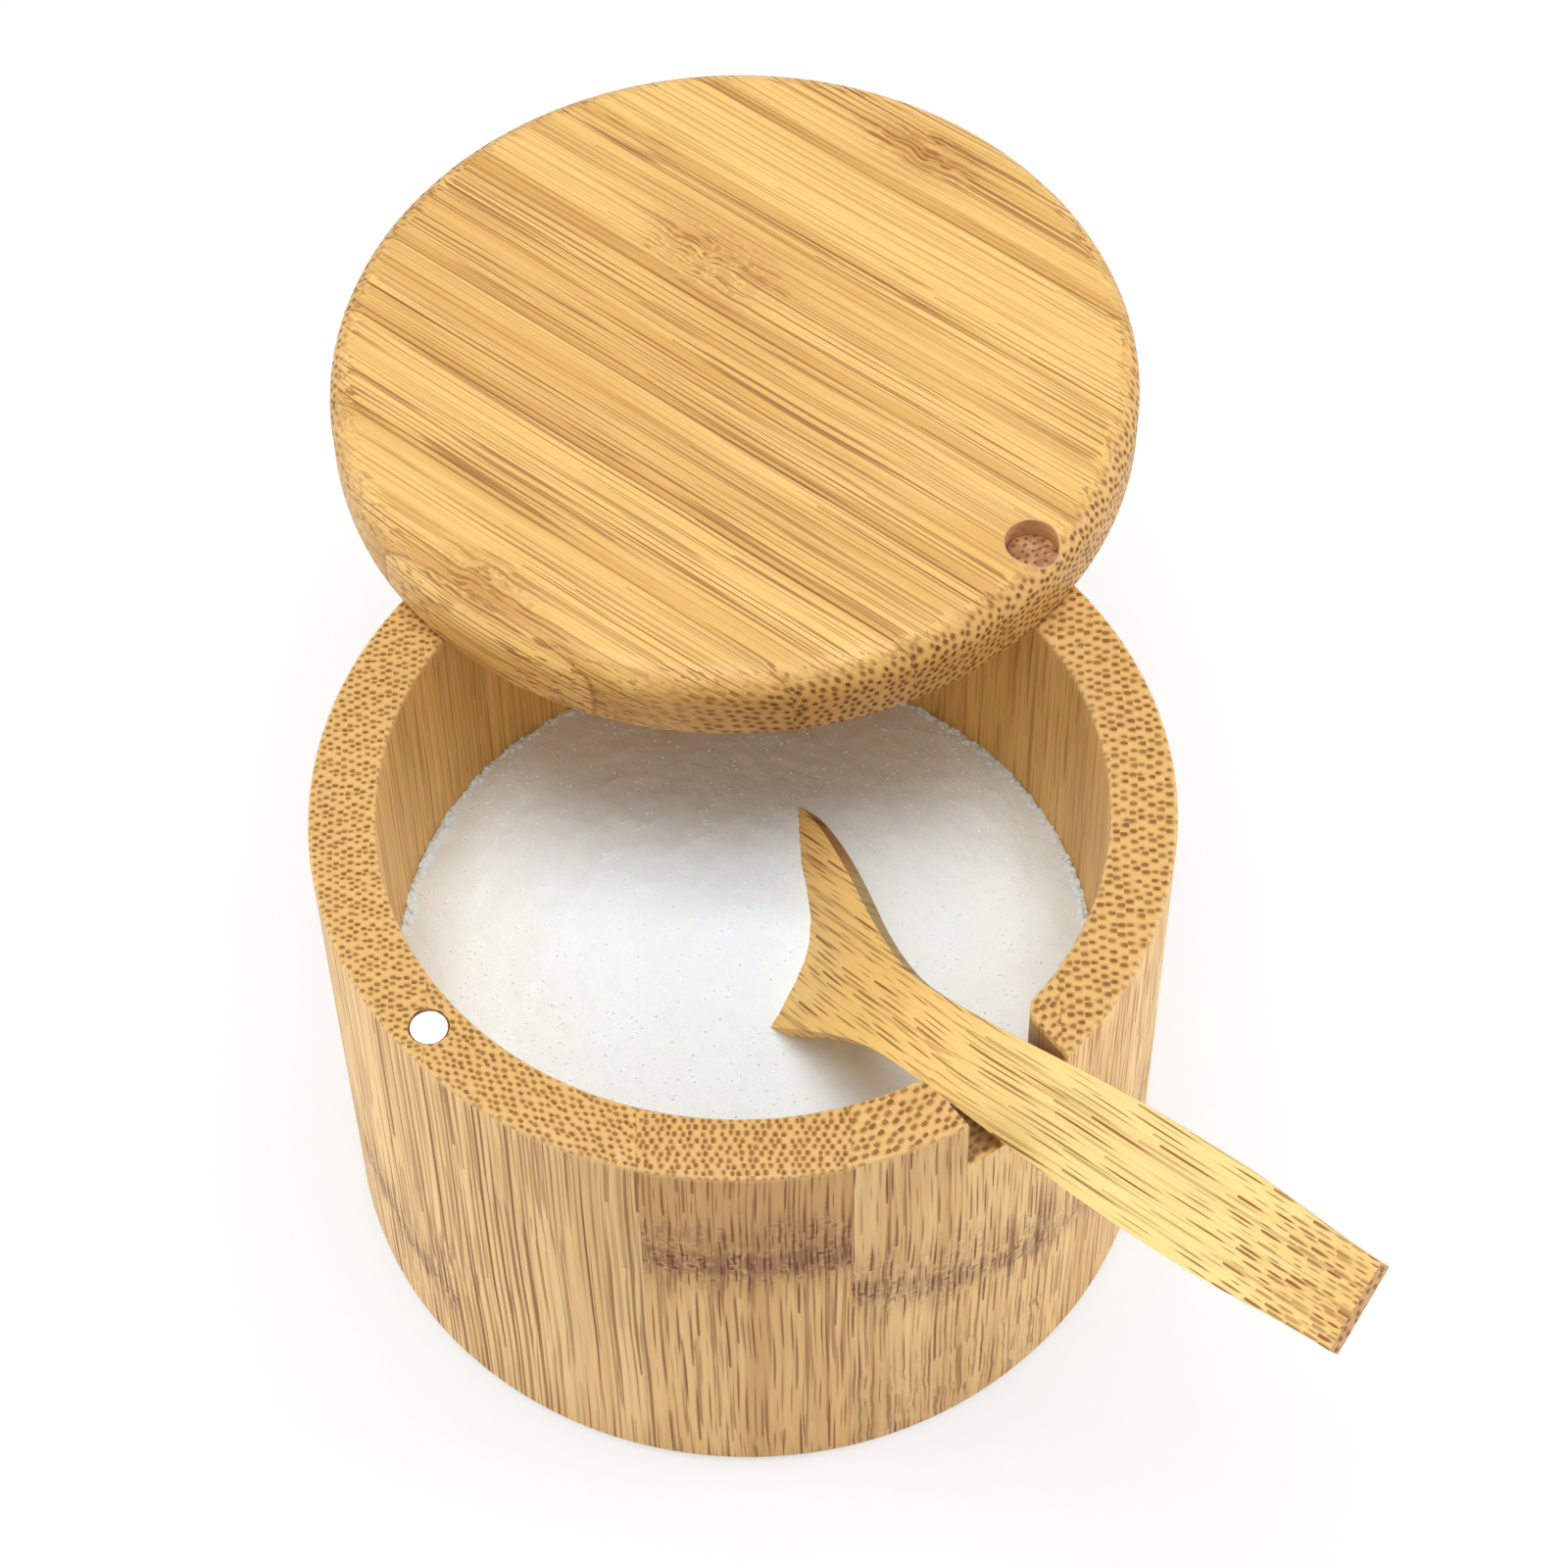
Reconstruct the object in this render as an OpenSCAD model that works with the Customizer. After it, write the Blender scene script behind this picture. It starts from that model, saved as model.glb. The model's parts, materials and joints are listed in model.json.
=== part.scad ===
// Round bamboo salt box with a swivel lid, a resting spoon and a fill of salt.
// Millimetres. The origin is the centre of the underside, +Z is up, the lid's pivot
// is at the back (+Y), the rim magnet at the front (-Y) and the spoon notch at +X.

/* [Body] */
// Outside diameter of the box
body_d = 90; // [80:0.5:104]
// Height of the box without its lid
body_h = 63; // [58:0.5:76]
// Thickness of the round wall
wall = 7; // [6:0.25:9]
// Thickness of the floor
floor_t = 7; // [4:0.5:12]
// Rounding of the rim's two edges
rim_edge_r = 0.4; // [0.2:0.1:1]
// Rounding of the bottom edge
base_edge_r = 1.5; // [0.5:0.25:3]

/* [Spoon notch] */
// Width of the notch across the handle
notch_w = 12.8; // [12:0.2:18]
// Depth of the notch below the rim
notch_depth = 8.2; // [8:0.1:12]
// Direction of the notch, turned from +X
notch_dir = -3; // [-10:1:10]
// Rounding of the upright corners between the notch and the bore
notch_corner_r = 2; // [0.5:0.25:3]

/* [Lid] */
// Diameter of the lid
lid_d = 88.5; // [78:0.5:104]
// Thickness of the lid
lid_t = 8.5; // [8:0.25:12]
// Rounding of the lid's top edge
lid_top_r = 3.5; // [1:0.25:5]
// Rounding of the lid's lower edge
lid_low_r = 0.6; // [0.2:0.1:1.5]
// Running gap between the rim and the lid
lid_gap = 0.25; // [0.1:0.05:0.5]
// Angle that the lid stands open, 0 is closed
lid_open = 80; // [0:5:180]

/* [Pivot] */
// Distance of the pin's axis from the box's outside
pivot_inset = 4.5; // [4:0.25:5.5]
// Distance of the pin's axis from the lid's edge
lid_edge = 3.75; // [3.5:0.05:5]
// Diameter of the pin's shank
pin_d = 3; // [2.5:0.25:3.5]
// Length of the pin inside the wall
pin_seat = 12; // [8:1:20]
// Radial clearance of the lid on the pin
pin_clearance = 0.05; // [0.02:0.01:0.1]
// Wood left in the lid under the pin's head
pin_web = 3.4; // [2.5:0.1:4]
// Diameter of the hole in the lid's top
cap_hole_d = 5.8; // [5:0.1:7]
// Thickness of the pin's head
head_t = 1.2; // [0.8:0.1:1.5]
// Thickness of the wooden plug over the head
plug_t = 1.4; // [0.8:0.1:2]
// Gap round the head, below and above it
head_gap = 0.1; // [0.05:0.05:0.2]

/* [Magnets] */
// Diameter of each disc magnet
magnet_d = 4; // [3:0.25:4.5]
// Thickness of each disc magnet
magnet_t = 2.5; // [1:0.25:4]
// Distance of the rim magnet's axis from the box's outside
magnet_inset = 3.5; // [3:0.25:4.5]
// Distance of the lid magnet's axis from the lid's edge
lid_magnet_edge = 2.75; // [2.75:0.05:4]
// Depth of each magnet's face below the wood
magnet_sink = 0.1; // [0:0.05:0.5]

/* [Spoon] */
// Length of the handle outside the notch
handle_l = 42.3; // [30:0.5:60]
// Width of the handle at its widest
handle_w = 11.6; // [9:0.2:11.8]
// Width of the handle at its cut end
handle_end_w = 9.6; // [8:0.2:11]
// Width of the neck, where the handle meets the bowl
neck_w = 8.4; // [7:0.2:9]
// Width of the bowl
bowl_w = 26; // [20:0.5:28]
// Length from the notch to the front of the bowl
bowl_reach = 67; // [60:0.5:70]
// Thickness of the handle
handle_t = 2; // [1.6:0.1:2.2]
// Thickness of the bowl's wall
bowl_t = 1.8; // [1.4:0.1:2.2]
// Depth of the bowl's hollow
bowl_dish = 3; // [1:0.25:4]
// Rise of the handle, outwards
handle_rise = 15; // [8:1:15]
// Extra fall of the bowl, inwards
neck_bend = 23; // [16:1:26]
// Roll of the spoon in the notch
spoon_roll = 31; // [20:1:31]
// Turn of the handle from the notch's own direction
spoon_turn = 7; // [3:1:9]
// Gap between the handle's upper edge and the notch's side
spoon_side_gap = 0.6; // [0.4:0.1:1]
// Gap between the handle's lower edge and the notch's floor
spoon_seat_gap = 0.3; // [0.2:0.05:0.4]
// How far the spoon slides out along its handle
spoon_travel = 5; // [2:0.5:6]

/* [Salt] */
// Height of the salt's heap above the floor
salt_depth = 33; // [20:0.5:34]
// Fall of the heap from its top to the wall
salt_fall = 7.2; // [3:0.1:8]
// Clearance of the salt round the spoon's path
salt_clearance = 0.35; // [0.2:0.05:0.6]

/* [Hidden] */

$fn = 96;

body_r = body_d / 2;
bore_r = body_r - wall;
pivot_r = body_r - pivot_inset;
magnet_r = body_r - magnet_inset;
lid_z = body_h + lid_gap;
lid_r = lid_d / 2;
// The closed lid's centre: the lid hangs on the pin, and its magnet is at its far side
lid_y = pivot_r + lid_edge - lid_r;
lid_magnet_y = lid_y - lid_r + lid_magnet_edge;

// Levels in the lid's pivot hole
head_z = lid_z + pin_web + head_gap;
plug_z = head_z + head_t + head_gap;

// The spoon is drawn along its handle: x outwards from the notch, y across, z up.
// The neck's bend starts and ends at these distances inside the notch's middle.
bend_start = 10;
bend_l = 12;
bend_end = bend_start + bend_l;
bend_r = bend_l / (neck_bend * PI / 180);
// The bowl widens from here, its hollow starts and is full at these, and its nose is round
flare_start = 18;
flare_l = 42;
dish_start = 24;
dish_l = 18;
nose_l = 9;
// The handle is widest between these distances outside the notch
swell_in = 16;
swell_out = 22;
// Steps between the sections along the spoon, and how each is rounded at its edges
straight_step = 4;
bend_step = 2;
bowl_step = 2.5;
nose_steps = 8;
nose_least = 0.14;
edge_power = 10;

// The handle's middle crosses this circle, just outside the wall, off the notch's middle
cross_r = body_r + 0.5;
cross_side = notch_w / 2 - spoon_side_gap - half_width(0) * cos(spoon_roll);
// Its lower edge clears the floor of the notch where it meets the wall's inner edge
seat_x = sqrt(pow(bore_r, 2) - pow(notch_w / 2, 2));
seat_z = body_h - notch_depth + spoon_seat_gap;
// Drop of that edge below the handle's middle, a little less than a sharp corner's
corner_share = 0.93;
seat_drop = corner_share * cos(handle_rise)
    * (half_width(-wall) * sin(spoon_roll) + handle_t / 2 * cos(spoon_roll));
spoon_z = seat_z + seat_drop + (cross_r - seat_x) * tan(handle_rise);
spoon_at = [
    cross_r * cos(notch_dir) - cross_side * sin(notch_dir),
    cross_r * sin(notch_dir) + cross_side * cos(notch_dir),
    spoon_z
];
spoon_dir = notch_dir + spoon_turn;
spoon_axis = [cos(handle_rise) * cos(spoon_dir), cos(handle_rise) * sin(spoon_dir), sin(handle_rise)];

// The heap of salt is the cap of a large sphere, with its top beside the spoon's bowl
heap_at = [-4, 0];
salt_top = floor_t + salt_depth;
heap_r = (pow(bore_r, 2) + pow(salt_fall, 2)) / (2 * salt_fall);
heap_fn = 180;

// How far a cut runs past the face that it opens
past = 1;

// ---- Helpers ----

// A smooth step from 0 to 1
function ease(t) = let (c = min(1, max(0, t))) c * c * (3 - 2 * c);

// Half the spoon's width at distance s from the notch, outwards positive
function half_width(s) =
    s > swell_out ? (handle_w + (handle_end_w - handle_w) * ease((s - swell_out) / (handle_l - swell_out))) / 2
    : s > -flare_start ? (neck_w + (handle_w - neck_w) * ease((s + flare_start) / (swell_in + flare_start))) / 2
    : (neck_w + (bowl_w - neck_w) * ease((-s - flare_start) / flare_l)) / 2;

// The nose's round end, as a share of the width
function nose(s) =
    let (t = (-s - (bowl_reach - nose_l)) / nose_l)
    t <= 0 ? 1 : max(nose_least, sqrt(max(0, 1 - t * t)));

// How much of the full hollow the bowl has
function dish(s) = ease((-s - dish_start) / dish_l) * nose(s) * bowl_dish;

// Thickness along the spoon
function thickness(s) = handle_t + (bowl_t - handle_t) * ease((-s - dish_start) / dish_l);

// Angle of the centre line below the handle's own line
function fall(s) = neck_bend * min(1, max(0, (-s - bend_start) / bend_l));

// Centre line: [x, z] at distance s
function line(s) =
    s >= -bend_start ? [s, 0]
    : let (a = fall(s), beyond = max(0, -s - bend_end))
      [-bend_start - bend_r * sin(a) - beyond * cos(a), -bend_r * (1 - cos(a)) - beyond * sin(a)];

// Shares of the half width at which each section has its points
function across() = [for (k = [-6:6]) sin(15 * k)];

// One section: along the top from one edge to the other, and back along the underside
function section(s, grow) =
    let (
        w = half_width(s) * nose(s) + grow,
        t = thickness(s) + 2 * grow,
        p = line(s),
        a = fall(s),
        v = across(),
        n = len(v)
    )
    [for (i = [0:2 * n - 3])
        let (
            q = i < n ? v[i] : v[2 * n - 2 - i],
            half = t / 2 * sqrt(max(0, 1 - pow(abs(q), edge_power))),
            h = (i < n ? half : -half) - dish(s) * (1 - q * q)
        )
        [p[0] - h * sin(a), w * q, p[1] + h * cos(a)]];

// Distances of the sections, from the cut end of the handle to the nose of the bowl
function steps(from, to, step) =
    let (n = max(1, ceil(abs(from - to) / step))) [for (i = [0:n - 1]) from + (to - from) * i / n];

function stations() = concat(
    steps(handle_l, -bend_start, straight_step),
    steps(-bend_start, -bend_end, bend_step),
    steps(-bend_end, nose_l - bowl_reach, bowl_step),
    [for (i = [0:nose_steps]) nose_l - bowl_reach - nose_l * sin(i * 90 / nose_steps)]
);

// A closed skin through the sections at the distances in list
module loft(list, grow) {
    rings = [for (s = list) section(s, grow)];
    m = len(rings[0]);
    last = len(rings) - 1;
    skin = [for (j = [0:last - 1], i = [0:m - 1])
        let (k = (i + 1) % m)
        each [[j * m + i, (j + 1) * m + i, (j + 1) * m + k], [j * m + i, (j + 1) * m + k, j * m + k]]];
    caps = [[for (i = [0:m - 1]) i], [for (i = [m - 1:-1:0]) last * m + i]];
    polyhedron(points = [for (r = rings) each r], faces = concat(skin, caps), convexity = 6);
}

module place_spoon(out = 0) {
    translate(spoon_at + out * spoon_axis)
        rotate([spoon_roll, -handle_rise, spoon_dir])
            children();
}

// Turns what is drawn for the closed lid to where the lid stands
module place_lid() {
    translate([0, pivot_r, 0])
        rotate([0, 0, -lid_open])
            translate([0, -pivot_r, 0])
                children();
}

// What rounding takes away from a corner at [0, 0] that points to the upper right
module corner_cut(r) {
    difference() {
        translate([-r, -r])
            square(r + past);
        translate([-r, -r])
            circle(r);
    }
}

// What rounds the notch's upright corner off, with the notch pointing along +X
module notch_corner() {
    corner_y = notch_w / 2 + notch_corner_r;
    corner_x = sqrt(pow(bore_r + notch_corner_r, 2) - pow(corner_y, 2));
    reach = notch_corner_r + past;
    translate([corner_x, corner_y, 0])
        linear_extrude(notch_depth + past)
            difference() {
                polygon([[0, 0], [0, -reach], [-reach, -reach],
                    -reach / (bore_r + notch_corner_r) * [corner_x, corner_y]]);
                circle(notch_corner_r);
            }
}

// Half section of a disc with a rounded lower and upper outer edge
module rounded_half(r, h, low_r, top_r) {
    difference() {
        square([r, h]);
        translate([r, 0])
            mirror([0, 1])
                corner_cut(low_r);
        translate([r, h])
            corner_cut(top_r);
    }
}

// ---- Pieces ----

module box_body() {
    color([0.80, 0.62, 0.38])
        difference() {
            rotate_extrude()
                difference() {
                    rounded_half(body_r, body_h, base_edge_r, rim_edge_r);
                    translate([0, floor_t])
                        square([bore_r, body_h]);
                    // the rim's inner edge is eased as well
                    translate([bore_r, body_h])
                        mirror([1, 0])
                            corner_cut(rim_edge_r);
                }
            // notch for the spoon's handle
            rotate([0, 0, notch_dir])
                translate([0, 0, body_h - notch_depth]) {
                    translate([bore_r - wall, -notch_w / 2, 0])
                        cube([3 * wall, notch_w, notch_depth + past]);
                    notch_corner();
                    mirror([0, 1, 0])
                        notch_corner();
                }
            // seat of the pivot pin
            translate([0, pivot_r, body_h - pin_seat])
                cylinder(d = pin_d, h = pin_seat + past);
            // pocket of the rim magnet
            translate([0, -magnet_r, body_h - magnet_sink - magnet_t])
                cylinder(d = magnet_d, h = magnet_t + past);
        }
}

module lid() {
    color([0.86, 0.66, 0.38])
        place_lid()
            difference() {
                translate([0, lid_y, lid_z])
                    rotate_extrude()
                        rounded_half(lid_r, lid_t, lid_low_r, lid_top_r);
                // bore for the pin, and the wider hole for its head and the plug
                translate([0, pivot_r, lid_z - past])
                    cylinder(r = pin_d / 2 + pin_clearance, h = lid_t + 2 * past);
                translate([0, pivot_r, lid_z + pin_web])
                    cylinder(d = cap_hole_d, h = lid_t);
                // pocket of the lid magnet, in the underside
                translate([0, lid_magnet_y, lid_z - past])
                    cylinder(d = magnet_d, h = magnet_t + magnet_sink + past);
            }
}

module pivot_pin() {
    color([0.70, 0.71, 0.72])
        translate([0, pivot_r, 0]) {
            translate([0, 0, body_h - pin_seat])
                cylinder(d = pin_d, h = head_z + head_t - body_h + pin_seat);
            translate([0, 0, head_z])
                cylinder(d = cap_hole_d - 2 * head_gap, h = head_t);
        }
}

module pivot_plug() {
    color([0.55, 0.37, 0.20])
        place_lid()
            translate([0, pivot_r, plug_z])
                cylinder(d = cap_hole_d, h = plug_t);
}

module rim_magnet() {
    color([0.88, 0.89, 0.90])
        translate([0, -magnet_r, body_h - magnet_sink - magnet_t])
            cylinder(d = magnet_d, h = magnet_t);
}

module lid_magnet() {
    color([0.82, 0.83, 0.85])
        place_lid()
            translate([0, lid_magnet_y, lid_z + magnet_sink])
                cylinder(d = magnet_d, h = magnet_t);
}

module spoon() {
    color([0.85, 0.68, 0.36])
        place_spoon()
            loft(stations(), 0);
}

// The salt is heaped, and leaves the way free that the bowl takes as the spoon slides
module salt_fill() {
    inside = [for (s = stations()) if (s < -bend_start) s];
    color([0.96, 0.96, 0.95])
        difference() {
            intersection() {
                translate([0, 0, floor_t])
                    cylinder(r = bore_r, h = body_h - floor_t);
                translate([heap_at[0], heap_at[1], salt_top - heap_r])
                    sphere(heap_r, $fn = heap_fn);
            }
            hull() {
                place_spoon()
                    loft(inside, salt_clearance);
                place_spoon(spoon_travel)
                    loft(inside, salt_clearance);
            }
        }
}

box_body();
lid();
pivot_pin();
pivot_plug();
rim_magnet();
lid_magnet();
spoon();
salt_fill();
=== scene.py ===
# %% [markdown]
# # A bamboo salt box with a swivel lid
# This lesson dresses a small kitchen box that was drawn as solids: a turned bamboo cup full of salt, a
# thick lid that swings aside on a pin in the rim, two small magnets and a flat spoon in a notch. The
# solids give every place and size. Here each piece gets its eased edges, its heaped salt and its finish.
# %% Load the solids
import json
import math
import bmesh
import bpy
from mathutils import Euler, Matrix, Vector


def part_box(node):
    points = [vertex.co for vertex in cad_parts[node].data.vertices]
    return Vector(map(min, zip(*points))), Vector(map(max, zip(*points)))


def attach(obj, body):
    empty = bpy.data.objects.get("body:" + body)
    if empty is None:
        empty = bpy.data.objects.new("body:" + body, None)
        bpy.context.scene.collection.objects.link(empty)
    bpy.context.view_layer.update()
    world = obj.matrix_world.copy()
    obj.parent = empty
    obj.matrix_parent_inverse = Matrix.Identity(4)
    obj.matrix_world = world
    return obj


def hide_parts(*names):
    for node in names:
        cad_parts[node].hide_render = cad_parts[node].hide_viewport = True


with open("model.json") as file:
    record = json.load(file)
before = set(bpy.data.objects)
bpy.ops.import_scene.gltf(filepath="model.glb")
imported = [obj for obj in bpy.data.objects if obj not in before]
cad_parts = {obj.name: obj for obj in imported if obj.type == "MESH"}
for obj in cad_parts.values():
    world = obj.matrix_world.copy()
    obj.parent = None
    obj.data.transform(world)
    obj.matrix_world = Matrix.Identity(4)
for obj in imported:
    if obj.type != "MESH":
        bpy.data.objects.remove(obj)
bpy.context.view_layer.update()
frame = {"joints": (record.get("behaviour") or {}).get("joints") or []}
MM = 0.001

# %% [markdown]
# The main sizes are read from the solids, so that a change in the drawing moves the dressed pieces too.
# The box's own axis is the Z axis. The lid's pin is on +Y, and the spoon's notch points along +X.
# %% Read the main sizes
body_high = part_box("box_body")[1]
lid_low, lid_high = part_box("lid")
salt_low, salt_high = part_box("salt_fill")
plug_low, plug_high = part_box("pivot_plug")
head_low, head_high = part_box("pivot_pin")
magnet_low, magnet_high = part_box("rim_magnet")
lid_magnet_low, lid_magnet_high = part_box("lid_magnet")
swivel = next(j for j in frame["joints"] if j["name"] == "lid_swivel")
slide = next(j for j in frame["joints"] if j["name"] == "spoon_slide")

BODY_R = body_high.x
BODY_H = body_high.z
BORE_R = salt_high.x
FLOOR_Z = salt_low.z
PIVOT = Vector((swivel["pos_m"][0], swivel["pos_m"][1], 0))
LID_R = (lid_high.x - lid_low.x) / 2
LID_T = lid_high.z - lid_low.z
LID_OPEN = math.radians(80)
print("box", BODY_R, BODY_H, "bore", BORE_R, "lid", LID_R, LID_T)

# %% [markdown]
# Modelling by hand in Blender means selecting something, then running an operator on it. Operators act on
# all that is selected, so these helpers first clear the selection and then pick by a test on each element.
# %% Selection helpers


def only(piece):
    """Selects one object alone and makes it active."""
    if bpy.context.object and bpy.context.object.mode != "OBJECT":
        bpy.ops.object.mode_set(mode="OBJECT")
    bpy.ops.object.select_all(action="DESELECT")
    piece.select_set(True)
    bpy.context.view_layer.objects.active = piece


def open_mesh(piece):
    """Goes into edit mode with nothing selected."""
    only(piece)
    bpy.ops.object.mode_set(mode="EDIT")
    bpy.ops.mesh.select_all(action="DESELECT")


def close_mesh():
    bpy.ops.object.mode_set(mode="OBJECT")


def pick(piece, kind, test):
    """In edit mode, selects only the verts, edges or faces that pass a test, and counts them."""
    mesh = bmesh.from_edit_mesh(piece.data)
    bpy.ops.mesh.select_mode(type={"verts": "VERT", "edges": "EDGE", "faces": "FACE"}[kind])
    bpy.ops.mesh.select_all(action="DESELECT")
    found = [element for element in getattr(mesh, kind) if test(element)]
    for element in found:
        element.select_set(True)
    bmesh.update_edit_mesh(piece.data)
    return len(found)


def pick_nearest(piece, spot, distance):
    """In edit mode, selects the one point that lies nearest to a spot, by a distance of its own."""
    points = bmesh.from_edit_mesh(piece.data).verts
    nearest = min(points, key=lambda v: distance(v.co - spot)).index
    pick(piece, "verts", lambda v: v.index == nearest)


# %% [markdown]
# A few steps come again and again: extruding what is selected, bevelling it, pushing it with a soft
# selection, and cutting one closed mesh with another. Each gets a short name here.
# %% Shaping helpers


def extrude(x, y, z):
    bpy.ops.mesh.extrude_region_move(TRANSFORM_OT_translate={"value": (x, y, z)})


def bevel(offset, segments, **settings):
    bpy.ops.mesh.bevel(offset=offset, segments=segments, affect="EDGES", **settings)


def push(way, reach, falloff, **settings):
    """Moves what is selected, and the mesh within reach of it by less and less."""
    bpy.ops.transform.translate(
        value=way, use_proportional_edit=True, proportional_edit_falloff=falloff,
        proportional_size=reach, **settings
    )


def face_outwards():
    """In edit mode, turns all faces of a closed mesh outwards."""
    bpy.ops.mesh.select_all(action="SELECT")
    bpy.ops.mesh.normals_make_consistent(inside=False)


def apply_place(piece):
    """Moves an object's place, turn and scale into its mesh."""
    only(piece)
    bpy.ops.object.transform_apply(location=True, rotation=True, scale=True)


def added(name):
    """Names the primitive that was just added, and applies its place."""
    piece = bpy.context.object
    piece.name = name
    apply_place(piece)
    return piece


def rod(name, radius, low, high, centre=(0, 0), sides=64):
    """A plain round bar between two heights, to start a piece from or to cut with."""
    place = (centre[0], centre[1], (low + high) / 2)
    bpy.ops.mesh.primitive_cylinder_add(vertices=sides, radius=radius, depth=high - low, location=place)
    return added(name)


def modify(piece, kind, **settings):
    """Adds a modifier, sets it and applies it."""
    only(piece)
    step = piece.modifiers.new(kind.lower(), kind)
    for name, value in settings.items():
        setattr(step, name, value)
    bpy.ops.object.modifier_apply(modifier=step.name)


def combine(piece, cutter, operation="DIFFERENCE"):
    """Cuts, joins or intersects a piece with another closed mesh, which is then removed."""
    modify(piece, "BOOLEAN", object=cutter, operation=operation, solver="EXACT")
    bpy.data.objects.remove(cutter)


def smooth(piece, angle=35):
    only(piece)
    bpy.ops.object.shade_smooth_by_angle(angle=math.radians(angle))


def rim_loop(edge, radius, height, slack=0.05 * MM):
    """Whether an edge lies on the circle of this radius at this height."""
    return all(
        abs(v.co.z - height) < slack and abs(math.hypot(v.co.x, v.co.y) - radius) < 2 * slack
        for v in edge.verts
    )


def finished(piece, body, node, material):
    """Puts a piece in its node's place, with its body and its material."""
    piece.data.materials.clear()
    piece.data.materials.append(material)
    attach(piece, body)
    if node:
        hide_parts(node)
    print(piece.name, len(piece.data.polygons), "faces")


# %% [markdown]
# ## The camera
# The photograph looks down on the box from well above, through a fairly long lens. The camera stands on a
# sphere round a point near the rim: its azimuth, elevation and distance say where, and a lens in
# millimetres says how much it takes in. A small roll levels the picture as it was taken.
# %% Place the camera
AZIMUTH = math.radians(49.566)
ELEVATION = math.radians(55.46)
DISTANCE = 439.2 * MM
AIM_ASIDE = 4.3 * MM
AIM_HEIGHT = 65.64 * MM
ROLL = -0.0158
LENS_MM = 97.9
right = Vector((math.cos(AZIMUTH), math.sin(AZIMUTH), 0))
toward = Vector((math.sin(AZIMUTH), -math.cos(AZIMUTH), 0))
up = Vector((0, 0, 1))
back = toward * math.cos(ELEVATION) + up * math.sin(ELEVATION)
aim = right * AIM_ASIDE + up * AIM_HEIGHT
level = Matrix((right, back.cross(right), back)).transposed()
turned = (level @ Matrix.Rotation(ROLL, 3, "Z")).to_4x4()
camera = bpy.data.objects.new("camera", bpy.data.cameras.new("camera"))
bpy.context.collection.objects.link(camera)
camera.matrix_world = Matrix.Translation(aim + back * DISTANCE) @ turned
camera.data.lens = LENS_MM
camera.data.clip_start = 10 * MM
bpy.context.scene.camera = camera
print("camera at", [round(x, 3) for x in camera.matrix_world.translation])

# %% [markdown]
# ## Tools for the materials
# A material is a tree of nodes. These two small classes add the nodes and wire them, so that a formula
# reads as it would on paper: a plus sign places an Add node, and a rise places a Map Range node.
# %% Classes that add shader nodes


class Value:
    """What one node puts out: a number, a vector or a colour. Arithmetic on it adds further nodes."""

    def __init__(self, nodes, socket):
        self.nodes = nodes
        self.socket = socket

    def __add__(self, other):
        return self.nodes.work("ADD", self, other)

    def __sub__(self, other):
        return self.nodes.work("SUBTRACT", self, other)

    def __rsub__(self, other):
        return self.nodes.work("SUBTRACT", other, self)

    def __mul__(self, other):
        return self.nodes.work("MULTIPLY", self, other)

    def __truediv__(self, other):
        return self.nodes.work("DIVIDE", self, other)

    def __gt__(self, other):
        return self.nodes.work("GREATER_THAN", self, other)

    def __lt__(self, other):
        return self.nodes.work("LESS_THAN", self, other)

    def __abs__(self):
        return self.nodes.math("ABSOLUTE", self)

    __radd__ = __add__

    def equals(self, number):
        """1 where the value is this whole number, and 0 elsewhere."""
        return self.nodes.math("COMPARE", self, float(number), 0.1)

    def rise(self, low, high, start=0.0, end=1.0):
        """A smooth step from start to end as the value goes from low to high."""
        feeds = {"Value": self, "From Min": low, "From Max": high, "To Min": start, "To Max": end}
        return self.nodes.out("MapRange", feeds, "Result", interpolation_type="SMOOTHSTEP")

    def fall(self, low, high, start=1.0, end=0.0):
        """The same step downwards."""
        return self.rise(low, high, start, end)


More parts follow.
